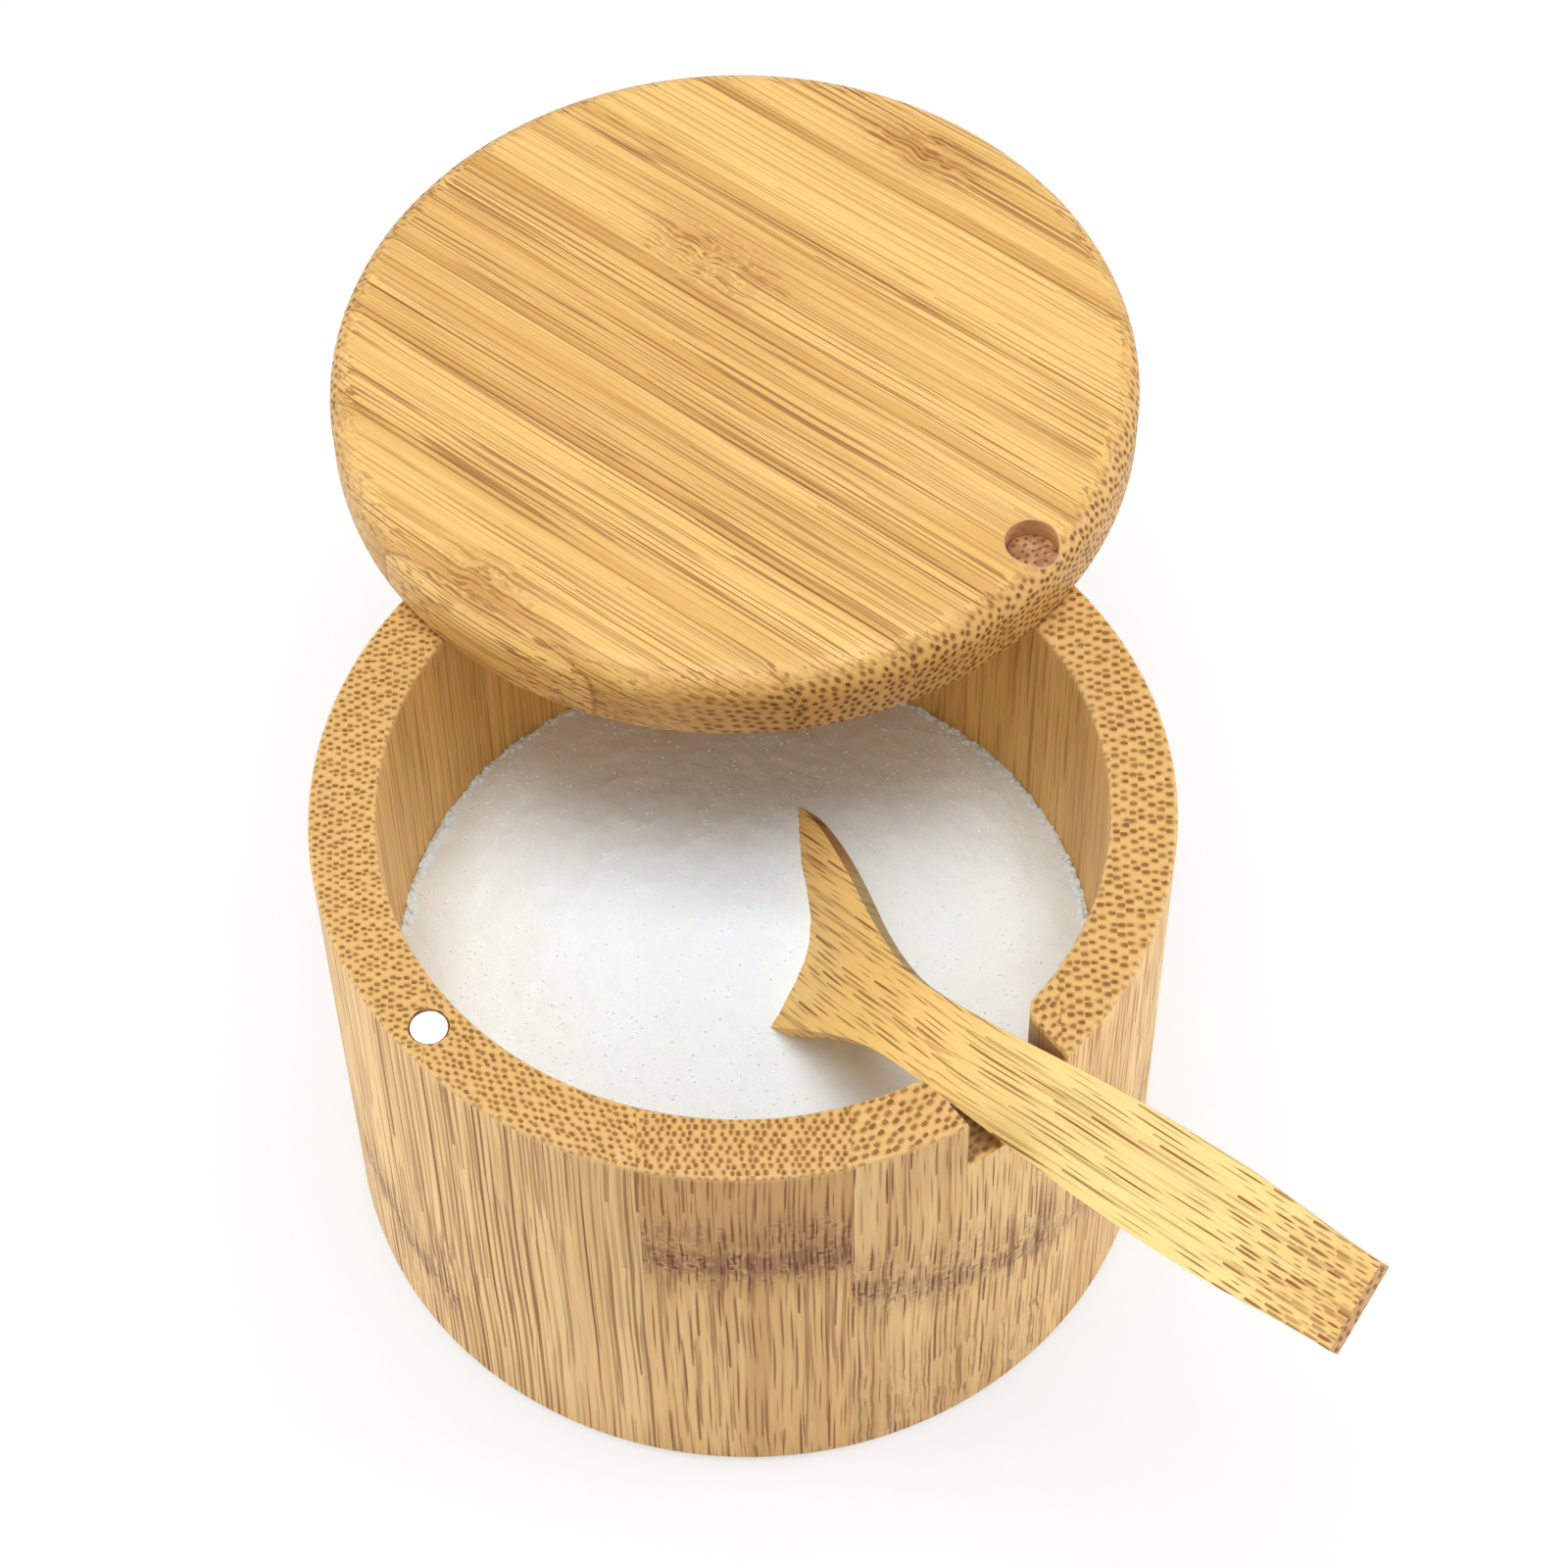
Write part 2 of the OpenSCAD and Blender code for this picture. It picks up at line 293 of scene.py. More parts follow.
class Nodes:
    """Adds shader nodes to one tree. A value, a socket or a plain number can feed each input."""

    def __init__(self, tree):
        self.tree = tree

    def feed(self, socket, value):
        if isinstance(value, Value):
            value = value.socket
        if isinstance(value, bpy.types.NodeSocket):
            self.tree.links.new(value, socket)
        else:
            socket.default_value = value

    def add(self, kind, feeds=None, **settings):
        """Adds a node and returns it."""
        node = self.tree.nodes.new("ShaderNode" + kind)
        for name, value in settings.items():
            setattr(node, name, value)
        for key, value in (feeds or {}).items():
            self.feed(node.inputs[key], value)
        return node

    def out(self, kind, feeds=None, output=0, **settings):
        """Adds a node and returns one of its outputs as a value."""
        return Value(self, self.add(kind, feeds, **settings).outputs[output])

    def math(self, operation, first, second=0.0, third=0.0):
        return self.out("Math", {0: first, 1: second, 2: third}, operation=operation)

    def work(self, operation, first, second):
        """Arithmetic on two numbers or, where either side is a vector, on two vectors."""
        sides = [side.socket.type for side in (first, second) if isinstance(side, Value)]
        vectors = isinstance(second, tuple) or any(side != "VALUE" for side in sides)
        return self.out("VectorMath" if vectors else "Math", {0: first, 1: second}, operation=operation)

    def larger(self, first, second):
        return self.math("MAXIMUM", first, second)

    def smaller(self, first, second):
        return self.math("MINIMUM", first, second)

    def length(self, vector):
        return self.out("VectorMath", {0: vector}, "Value", operation="LENGTH")

    def split(self, vector):
        return [Value(self, part) for part in self.add("SeparateXYZ", {0: vector}).outputs]

    def join(self, x, y, z):
        return self.out("CombineXYZ", {0: x, 1: y, 2: z})

    def noise(self, vector, scale=1.0, detail=2.0, roughness=0.5, output=0):
        feeds = {"Vector": vector, "Scale": scale, "Detail": detail, "Roughness": roughness}
        return self.out("TexNoise", feeds, output)

    def luck(self, x, y, z, output="Value"):
        """A number or a colour drawn by chance, always the same one for the same three numbers."""
        return self.out("TexWhiteNoise", {"Vector": self.join(x, y, z)}, output, noise_dimensions="3D")

    def between(self, factor, first, second):
        """A number between two others."""
        return self.out("Mix", {0: factor, 2: first, 3: second})

    def blend(self, factor, first, second):
        """A colour between two others."""
        return self.out("Mix", {0: factor, 6: first, 7: second}, 2, data_type="RGBA")

    def group(self, tree, **feeds):
        """Places a group, and returns its outputs by name."""
        node = self.tree.nodes.new("ShaderNodeGroup")
        node.node_tree = tree
        for name, value in feeds.items():
            self.feed(node.inputs[name.replace("_", " ")], value)
        return {output.name: Value(self, output) for output in node.outputs}


def new_group(name, inputs, outputs):
    """An empty node group. Its sockets are named in one line for each kind of value."""
    tree = bpy.data.node_groups.new(name, "ShaderNodeTree")
    for way, kinds in (("INPUT", inputs), ("OUTPUT", outputs)):
        for kind, labels in kinds.items():
            for label in labels.split(", "):
                tree.interface.new_socket(label, in_out=way, socket_type="NodeSocket" + kind)
    nodes = Nodes(tree)
    given = {socket.name: Value(nodes, socket) for socket in tree.nodes.new("NodeGroupInput").outputs}
    result = tree.nodes.new("NodeGroupOutput").inputs
    return tree, nodes, given, result


# %% [markdown]
# Colours are given as they look on a screen, and shaders count in linear light, so one helper
# turns the first into the second. Each material starts from a Principled shader, whose plain values are
# set on the shader itself, and reads its place in millimetres, because wood is easiest to think of so.
# %% Colours, new materials and coordinates


def shade(red, green, blue):
    """A colour as it looks on screen, from 0 to 255, as the linear values that shaders use."""
    return tuple(
        c / 12.92 if c <= 0.04045 else ((c + 0.055) / 1.055) ** 2.4
        for c in (red / 255, green / 255, blue / 255)
    ) + (1.0,)


def new_material(name, **surface):
    """A material with a Principled shader, its plain values set on the shader itself."""
    material = bpy.data.materials.new(name)
    material.use_nodes = True
    nodes = Nodes(material.node_tree)
    shader = next(n for n in material.node_tree.nodes if n.type == "BSDF_PRINCIPLED")
    for key, value in surface.items():
        shader.inputs[key.replace("_", " ")].default_value = value
    return material, nodes, shader


def dress(nodes, shader, colour, roughness, height=None, depth=0.0, strength=0.5):
    """Feeds a Principled shader with a colour, a roughness and the height of a fine relief."""
    nodes.feed(shader.inputs["Base Color"], colour)
    nodes.feed(shader.inputs["Roughness"], roughness)
    if height:
        bump = nodes.out("Bump", {"Strength": strength, "Distance": depth, "Height": height})
        nodes.feed(shader.inputs["Normal"], bump)


def local_mm(nodes, place=(0, 0, 0), turn=(0, 0, 0)):
    """Object coordinates in millimetres, counted from a place and turned with the piece."""
    here = nodes.out("TexCoord", output="Object")
    feeds = {"Vector": here, "Location": place, "Rotation": turn, "Scale": (MM, MM, MM)}
    return nodes.out("Mapping", feeds, vector_type="TEXTURE")


def mark_facing(piece, name, way):
    """Stores at each corner how squarely the surface faces one way: 1 towards it, -1 away from it."""
    layer = piece.data.attributes.new(name, "FLOAT", "CORNER")
    layer.data.foreach_set("value", [n.vector.dot(way) for n in piece.data.corner_normals])


def facing(nodes, name):
    """Reads back what mark_facing stored under a name."""
    return nodes.out("Attribute", output="Fac", attribute_name=name)


# %% [markdown]
# ## Bamboo
# Bamboo isn't wood: brown bundles of fibre run up the stalk through paler tissue. Cut across, they show
# as rows of brown ovals, and cut along, as flecks with tapered ends. Both are a grid of cells with one
# oval in each, pushed a little aside and given a size of its own, so one group can draw both: dots when
# it is fed the place in space, and flecks when one axis is drawn out along the grain.
# %% A node group for staggered ovals
STRAY = 0.55
LARGEST = 1.15
ovals, nodes, given, result = new_group(
    "fibre_ovals",
    {"Vector": "Vector", "Float": "Pitch X, Pitch Y, Radius, Oval, Spread, Scatter, Turn, Seed"},
    {"Float": "Core, Halo, Shade"},
)
feeds = {"Vector": given["Vector"], "Angle": given["Turn"]}
x, y, z = nodes.split(nodes.out("VectorRotate", feeds, rotation_type="Z_AXIS"))
row_at = y / given["Pitch Y"]
row = nodes.math("FLOOR", row_at)
shift = row * 0.5 + nodes.luck(row, 3.0, given["Seed"]) * given["Scatter"]
column_at = shift + x / given["Pitch X"]
column = nodes.math("FLOOR", column_at)
luck_x, luck_y, luck_shade = nodes.split(nodes.luck(column, row, given["Seed"], "Color"))
aside_x, aside_y = [
    (nodes.math("FRACT", at) + (STRAY / 2 - 0.5) - chance * STRAY) * given[pitch]
    for at, chance, pitch in ((column_at, luck_x, "Pitch X"), (row_at, luck_y, "Pitch Y"))
]
away = nodes.length(nodes.join(aside_x, aside_y * given["Oval"], 0.0))
radius = given["Radius"] * (LARGEST - nodes.luck(column, row, given["Seed"]) * given["Spread"])
nodes.feed(result["Core"], away.fall(radius * 0.65, radius * 1.1))
nodes.feed(result["Halo"], away.fall(radius * 0.65, radius * 2.2))
nodes.feed(result["Shade"], luck_shade)
print("ovals group", len(ovals.nodes), "nodes")

# %% [markdown]
# The ovals are only part of the look. Each glued strip has a tone of its own, thin lines run along it,
# and at a node of the stalk the fibres swirl and darken round small eyes. One group does all of that for
# the box, the lid and the spoon, each with its own colours and sizes. Its End input says where the
# surface cuts across the grain: there the dots and the pale web between them come forward.
# %% A node group for bamboo: its flecks and dots
SEED_STEP = 17.3
DOT_TURN = 0.79
bamboo, nodes, given, result = new_group(
    "bamboo",
    {
        "Vector": "Vector, Flat",
        "Float": "Strip, Tone, End, Node, Seam, Pitch X, Pitch Y, Radius, Oval, Fleck Gap, Fleck Step, "
        "Fleck Width, Fleck Depth, Lines, Wander, Swirl",
        "Color": "Pale, Deep, Web, Fibre, Knot",
    },
    {"Color": "Color", "Float": "Roughness, Height"},
)
here, strip, end = given["Vector"], given["Strip"], given["End"]
side = 1.0 - end
sway, swirl = [
    nodes.noise(here * grain, detail=1.0, output="Color") + (-0.5, -0.5, -0.5)
    for grain in ((0.05, 0.05, 0.03), (0.3, 0.3, 0.24))
]
swayed = sway * nodes.join(given["Wander"], given["Wander"], 0.0)
swirled = swirl * (given["Node"] * 2.0)
bent = swayed + swirled * given["Swirl"]
seed = strip * SEED_STEP
shuffled = nodes.join(seed, seed * 1.7, 0.0)
along_grain = here + bent + shuffled
dots = nodes.group(
    ovals, Vector=here + swayed + swirled + shuffled, Pitch_X=given["Pitch X"],
    Pitch_Y=given["Pitch Y"], Radius=given["Radius"], Oval=given["Oval"], Spread=0.35,
    Turn=(strip - 2.0) * DOT_TURN, Seed=strip,
)
aside_x, aside_y, aside_z = nodes.split(bent)
flat = given["Flat"] + nodes.join(aside_z * 0.1, aside_x, 0.0) + nodes.join(seed, seed, 0.0)
flecks = nodes.group(
    ovals, Vector=flat, Pitch_X=given["Fleck Step"], Pitch_Y=given["Fleck Gap"],
    Radius=given["Fleck Width"], Oval=1.25, Spread=0.85, Scatter=1.0, Seed=strip,
)
core, halo, darkness = [
    nodes.between(end, flecks[name], dots[name]) for name in ("Core", "Halo", "Shade")
]
core = core * (end + side * given["Fleck Depth"])

# %% [markdown]
# Three noises drawn out along the grain give the wood its tone, from broad to fine. A noise swings about
# one half, so taking 0.5 away centres it. Then the colours are laid over each other as a painter would:
# the strip's own tone, the pale web between the dots, the thin lines, the soft and the dark part of each
# fibre, the stain of a node with its small eyes, and the glue.
# %% The bamboo group's colour, gloss and relief
fine, middling, broad = [
    nodes.noise(along_grain * grain, detail=detail)
    for grain, detail in (
        ((2.7, 2.7, 0.022), 1.0),
        ((1.15, 1.15, 0.035), 2.0),
        ((0.24, 0.24, 0.012), 1.0),
    )
]
lean = given["Tone"] + (broad - 0.5) * 1.2 + (middling - 0.5)
colour = nodes.blend(lean.rise(0.0, 1.0), given["Pale"], given["Deep"])
colour = nodes.blend((1.0 - halo) * (end * 0.55 + 0.15), colour, given["Web"])
lines = fine.rise(0.555, 0.655) * (side * given["Lines"])
soft = halo * (side * 0.02 + 0.14)
strength = core * (0.6 - side * 0.3 + darkness * (side * 0.45 + 0.35))
for amount in (lines, soft, strength):
    colour = nodes.blend(amount, colour, given["Fibre"])
eyes = nodes.out("TexVoronoi", {"Vector": here + swirled, "Scale": 0.62}, "Distance")
pupil = eyes.fall(0.14, 0.3)
ring = abs(eyes - 0.4).fall(0.02, 0.1)
stain = pupil * 0.45 + (0.62 - ring * 0.35) + core * 0.5 + (fine - 0.5) * 1.2
colour = nodes.blend(given["Node"] * stain, colour, given["Knot"])
colour = nodes.blend(given["Seam"] * 0.6, colour, given["Fibre"])
nodes.feed(result["Color"], colour)
nodes.feed(result["Roughness"], core * 0.12 + (fine * 0.2 + 0.38))
nodes.feed(result["Height"], fine * 0.5 - (core * 0.6 + given["Seam"] * 0.6))
print("bamboo group", len(bamboo.nodes), "nodes")

# %% [markdown]
# The boards are glued from strips, and each strip was another piece of stalk. A list of the seams, as
# distances across the board, is all it takes: counting how many seams lie to one side of a point gives
# the number of its strip, and the distance to the nearest seam draws the thin dark line of glue.
# %% Strips and nodes of the stalk


def strips(nodes, across, seams):
    """The number of the strip at a point, and a mask for the seams."""
    number = 0.0
    seam = 0.0
    for place in seams:
        past = across - place
        number = number + (past > 0.0)
        seam = nodes.larger(seam, abs(past).fall(0.03, 0.16))
    return number, seam


def beside_seams(nodes, across, seams):
    """A mask for the wood just past each seam, where a strip starts darker."""
    beside = 0.0
    for place in seams:
        past = across - place
        beside = nodes.larger(beside, (past > 0.0) * abs(past).fall(0.2, 2.4))
    return beside


def node_band(nodes, point, strip, number, height):
    """A mask round a node of the stalk: a ragged dark line, and streaks that fade above and below it."""
    ragged = nodes.noise(point * (0.25, 0.25, 0.1), detail=2.0)
    streaky = nodes.noise(point * (1.3, 1.3, 0.12), detail=1.0)
    off = nodes.split(point)[2] - height
    line = abs(off + (ragged - 0.5) * 5.0).fall(1.4, 4.2)
    fade = abs(off - 2.0 + (streaky - 0.5) * 14.0).fall(2.0, 9.0, 0.6)
    return nodes.larger(line, fade) * strip.equals(number)


# %% [markdown]
# ## The box
# The real box is turned on a lathe from a block of glued strips whose grain stands upright. A cylinder
# is inset and its middle pushed down, which makes the cup and its wall in two steps. The two edges of the
# rim and the edge of the base are bevelled while they are still clean circles.
# %% Turn the cup
ROUND = 256
RIM_EDGE = 0.45 * MM
BASE_EDGE = 1.5 * MM
cup = rod("bamboo_box", BODY_R, 0, BODY_H, sides=ROUND)
open_mesh(cup)
pick(cup, "faces", lambda f: f.normal.z > 0.9)
bpy.ops.mesh.inset(thickness=BODY_R - BORE_R, depth=0)
extrude(0, 0, FLOOR_Z - BODY_H)
pick(cup, "edges", lambda e: rim_loop(e, BODY_R, BODY_H) or rim_loop(e, BORE_R, BODY_H))
bevel(RIM_EDGE, 4)
pick(cup, "edges", lambda e: rim_loop(e, BODY_R, 0))
bevel(BASE_EDGE, 6)
close_mesh()
print("cup", len(cup.data.polygons), "faces")

# %% [markdown]
# The notch is cut with a shape of its own. A flat plate is extruded inwards past the wall and flared
# there, raised to a block, and its two inner upright edges are bevelled, so that the wood left standing
# beside the notch gets rounded corners, as in the photograph.
# %% Make the notch's cutter
NOTCH_W = 12.8 * MM
NOTCH_DEPTH = 8.2 * MM
NOTCH_TURN = math.radians(-3)
NOTCH_CORNER = 2 * MM
NOTCH_FLARE = 4 * MM
PAST_WALL = 5 * MM
INTO_BORE = 8 * MM
ABOVE_RIM = 2 * MM
corner_x = math.sqrt(BORE_R**2 - (NOTCH_W / 2) ** 2)
flare_y = NOTCH_W / 2 + NOTCH_FLARE
flare_x = math.sqrt(BORE_R**2 - flare_y**2)
outside_x = BODY_R + PAST_WALL
bpy.ops.mesh.primitive_plane_add(size=1, location=((corner_x + outside_x) / 2, 0, BODY_H - NOTCH_DEPTH))
bpy.context.object.scale = (outside_x - corner_x, NOTCH_W, 1)
cutter = added("notch_cutter")
open_mesh(cutter)
pick(cutter, "edges", lambda e: all(v.co.x < corner_x + 0.1 * MM for v in e.verts))
extrude(flare_x - corner_x, 0, 0)
bpy.ops.transform.resize(value=(1, 2 * flare_y / NOTCH_W, 1))
extrude(-INTO_BORE, 0, 0)
bpy.ops.mesh.select_all(action="SELECT")
extrude(0, 0, NOTCH_DEPTH + ABOVE_RIM)
face_outwards()
upright = pick(
    cutter, "edges",
    lambda e: abs(e.verts[0].co.z - e.verts[1].co.z) > NOTCH_DEPTH / 2
    and abs(e.verts[0].co.x - corner_x) < 0.05 * MM
    and abs(abs(e.verts[0].co.y) - NOTCH_W / 2) < 0.05 * MM,
)
bevel(NOTCH_CORNER, 8, offset_type="OFFSET")
close_mesh()
cutter.rotation_euler.z = NOTCH_TURN
apply_place(cutter)
print("notch corners bevelled:", upright)

# %% Cut the notch, the pin's seat and the magnet's pocket
PIN_R = 1.5 * MM
PIN_SEAT = 12 * MM
POCKET_GAP = 0.12 * MM
MAGNET_R = (magnet_high.x - magnet_low.x) / 2
magnet_y = (magnet_high.y + magnet_low.y) / 2
above = BODY_H + MM
combine(cup, cutter)
combine(cup, rod("pin_seat", PIN_R, BODY_H - PIN_SEAT, above, (0, PIVOT.y)))
combine(cup, rod("pocket", MAGNET_R + POCKET_GAP, magnet_low.z, above, (0, magnet_y)))
smooth(cup)
mark_facing(cup, "end_grain", up)
print("box faces:", len(cup.data.polygons))

# %% [markdown]
# The box's strips stand upright and are seen side on, so the seams are planes that face the camera's left
# and right. The dark node of the middle strip crosses the front of the box, and its neighbours have theirs
# lower down. The strips on the right are coarser, and one has a mottled foot, where the swirls of a node
# show but hardly darken. The grain attribute switches between the dotted rim and the streaked sides.
# %% The box's bamboo: its colours and its nodes
BOX_SEAMS = (-32.0, -10.8, 10.4, 31.6)
# Pale, deep and fibre colours, for the sides, the middle strip, the inner wall and the rim.
SIDES = shade(248, 208, 142), shade(212, 162, 98), shade(140, 84, 42)
MIDDLE = shade(244, 200, 131), shade(208, 155, 90), SIDES[2]
INSIDE = shade(242, 196, 116), shade(212, 162, 86), shade(166, 116, 58)
RIM = shade(206, 160, 90), shade(184, 136, 70), shade(122, 78, 30)
# A painted shade for the notch, and a painted highlight for the edges of the rim.
NOTCH_SHADE, EDGE_HIGHLIGHT = shade(92, 58, 30), shade(244, 206, 144)


def box_nodes(nodes, point, strip):
    """The dark bands of the box's nodes, and how much they shorten the flecks near them."""
    x, y, z = nodes.split(point)
    band = 0.0
    shorter = 0.0
    # Each band's strip, its height, which may slant across the strip, and its strength.
    bands = (
        (2, 45.5, 1.0),
        (3, 41.0 - x * 0.42, 0.75),
        (0, -17.0 - x * 0.9, 0.6),
        (4, 26.0, 0.55),
    )
    for number, height, strength in bands:
        band = nodes.larger(band, node_band(nodes, point, strip, number, height) * strength)
        past = nodes.math("TANH", (z - height) / 5.0)
        shorter = shorter + past * strip.equals(number)
    return band, shorter


def notch_shade_and_edge_highlight(nodes, colour, radius):
    """Paints shade into the notch's floor and cheeks, where the spoon shades them, and a painted highlight
    along the rim's edges.
    """
    outside, bore, floor, cheek = BODY_R / MM, BORE_R / MM, -NOTCH_DEPTH / MM, NOTCH_W / 2 / MM
    x, y, z = nodes.split(local_mm(nodes, (0, 0, BODY_H), (0, 0, NOTCH_TURN)))
    # Painted shade: the notch's floor and cheeks are darkened where the spoon shades them.
    notch_shade = z.fall(-1.2, -0.4) * z.rise(floor - 0.8, floor - 0.2) * abs(y).fall(cheek + 0.1, cheek + 0.8)
    notch_shade = notch_shade * nodes.larger(x, radius).fall(outside - 0.8, outside - 0.2, 0.65)
    notch_shade = notch_shade * x.rise(bore - 0.8, bore)
    # Painted highlight: a thin pale line along both edges of the rim's top, where the eased edges catch the
    # light.
    half_wall = (outside - bore) / 2
    from_middle = abs(radius - (outside + bore) / 2)
    edge_highlight = from_middle.rise(half_wall - 0.5, half_wall - 0.2) * 0.3 * z.rise(-0.8, -0.4)
    return nodes.blend(edge_highlight, nodes.blend(notch_shade, colour, NOTCH_SHADE), EDGE_HIGHLIGHT)


# %% The box's bamboo: the material


def box_bamboo():
    material, nodes, shader = new_material("bamboo_upright", Specular_IOR_Level=0.35)
    point = local_mm(nodes, turn=(0, 0, AZIMUTH))
    x, y, z = nodes.split(point)
    strip, seam = strips(nodes, x, BOX_SEAMS)
    at_left, middle, at_right = strip < 1.5, strip.equals(2), strip > 2.5
    end = abs(facing(nodes, "end_grain")).rise(0.2, 0.5)
    side = 1.0 - end
    radius = nodes.length(nodes.join(x, y, 0.0))
    inner = side * radius.fall(BORE_R / MM + 0.6, BORE_R / MM + 1.6)
    outer = 1.0 - inner
    band, shorter = box_nodes(nodes, point, strip)
    mottled = z.fall(14.0, 25.0, 0.12) * strip.equals(3)
    band = nodes.larger(band, mottled) * (side * outer)
    tone = middle * z.rise(34.0, 48.0, 0.2, 0.75) + (nodes.luck(strip, 3.0, 8.0) * 0.4 + 0.1)
    drawn_out = z * (1 / 42) + nodes.larger(z, 38.0) * (1 / 60)
    drawn_out = nodes.between(at_left, drawn_out, z * (1 / 170))
    round_mm = nodes.math("ARCTAN2", x, y * -1.0) * (BODY_R / MM)
    pale, deep, fibre = [
        nodes.blend(end, nodes.blend(inner, nodes.blend(middle, on_side, on_middle), on_inner), on_rim)
        for on_side, on_middle, on_inner, on_rim in zip(SIDES, MIDDLE, INSIDE, RIM)
    ]
    look = nodes.group(
        bamboo, Vector=point, Flat=nodes.join(shorter * 0.3 + drawn_out, round_mm, 0.0), Strip=strip,
        Tone=tone, End=end, Node=band, Seam=seam * 0.2,
        Pitch_X=at_right * 0.24 + 0.92, Pitch_Y=at_right * 0.19 + 0.75,
        Radius=at_right * 0.06 + 0.215, Oval=0.64,
        Fleck_Gap=0.8, Fleck_Step=0.42, Fleck_Width=at_left * 0.1 + 0.18, Fleck_Depth=outer * 0.7 + 0.2,
        Lines=0.6, Wander=1.8, Swirl=mottled * 18.0 + 0.35,
        Pale=pale, Deep=deep, Web=nodes.blend(end, pale, shade(226, 182, 112)), Fibre=fibre,
        Knot=shade(106, 52, 22),
    )
    colour = notch_shade_and_edge_highlight(nodes, look["Color"], radius)
    dress(nodes, shader, colour, look["Roughness"], look["Height"], 0.06 * MM)
    return material


finished(cup, "box", "box_body", box_bamboo())

# %% [markdown]
# ## The lid
# The lid is a flat disc with a generous round over its top edge. It is modelled closed, over the box, and
# then swung open round the pin, so that the pin's hole and the magnet's pocket stay where they belong.
# %% Turn the lid
LID_TOP_EDGE = 3.5 * MM
LID_LOW_EDGE = 0.6 * MM
HOLE_EDGE = 0.25 * MM
WEB_T = 3.4 * MM
PIN_GAP = 0.05 * MM
LARGE_FACE = 1000 * MM * MM
lid_z = lid_low.z
top_z = lid_z + LID_T
web_z = lid_z + WEB_T
hole_r = (plug_high.x - plug_low.x) / 2
bpy.ops.mesh.primitive_cylinder_add(
    vertices=ROUND, radius=LID_R, depth=LID_T, location=(0, 0, lid_z + LID_T / 2)
)
lid = added("bamboo_lid")
open_mesh(lid)
pick(lid, "edges", lambda e: rim_loop(e, LID_R, top_z))
bevel(LID_TOP_EDGE, 12)
pick(lid, "edges", lambda e: rim_loop(e, LID_R, lid_z))
bevel(LID_LOW_EDGE, 4)
pick(lid, "faces", lambda f: abs(f.normal.z) > 0.99 and f.calc_area() > LARGE_FACE)
bpy.ops.mesh.inset(thickness=1.0 * MM)
close_mesh()
combine(lid, rod("pin_bore", PIN_R + PIN_GAP, lid_z - MM, top_z, (0, PIVOT.y)))
combine(lid, rod("head_hole", hole_r, web_z, top_z + MM, (0, PIVOT.y)))
combine(lid, rod("lid_pocket", MAGNET_R + POCKET_GAP, lid_z - MM, lid_magnet_high.z, (0, magnet_y)))

# %% Ease the hole's mouth and swing the lid open


def hole_loop(edge):
    """Whether an edge lies on the mouth of the pin's hole."""
    heights = [v.co.z for v in edge.verts]
    round_hole = all(
        abs(math.hypot(v.co.x, v.co.y - PIVOT.y) - hole_r) < 0.06 * MM for v in edge.verts
    )
    return round_hole and min(heights) > web_z + MM and max(heights) - min(heights) < 0.6 * MM


def swing_open(piece):
    """Turns what was made for the closed lid to where the lid stands."""
    turn = Matrix.Translation(PIVOT) @ Matrix.Rotation(-LID_OPEN, 4, "Z") @ Matrix.Translation(-PIVOT)
    piece.matrix_world = turn @ piece.matrix_world
    apply_place(piece)


open_mesh(lid)
print("hole mouth edges", pick(lid, "edges", hole_loop))
bevel(HOLE_EDGE, 3, clamp_overlap=True)
close_mesh()
swing_open(lid)
smooth(lid, 40)
GRAIN = math.radians(10.8)
mark_facing(lid, "end_grain", Vector((math.cos(GRAIN), math.sin(GRAIN), 0)))

# %% [markdown]
# The lid's strips lie flat and side by side. Their seams, and the swirls where a node of the stalk comes
# to the surface, are placed by distances measured from the box's axis across and along the grain.
# %% The lid's bamboo
LID_SEAMS = (-1.5, 9.8, 20.6, 31.1, 44.6, 58.8, 70.5)
# The place of each swirl across and along the grain, and its size.
LID_SWIRLS = ((50.3, -43.0, 4.2), (77.0, -35.5, 3.2), (0.4, -34.5, 3.1))
SWIRL_HEIGHT = 7.0


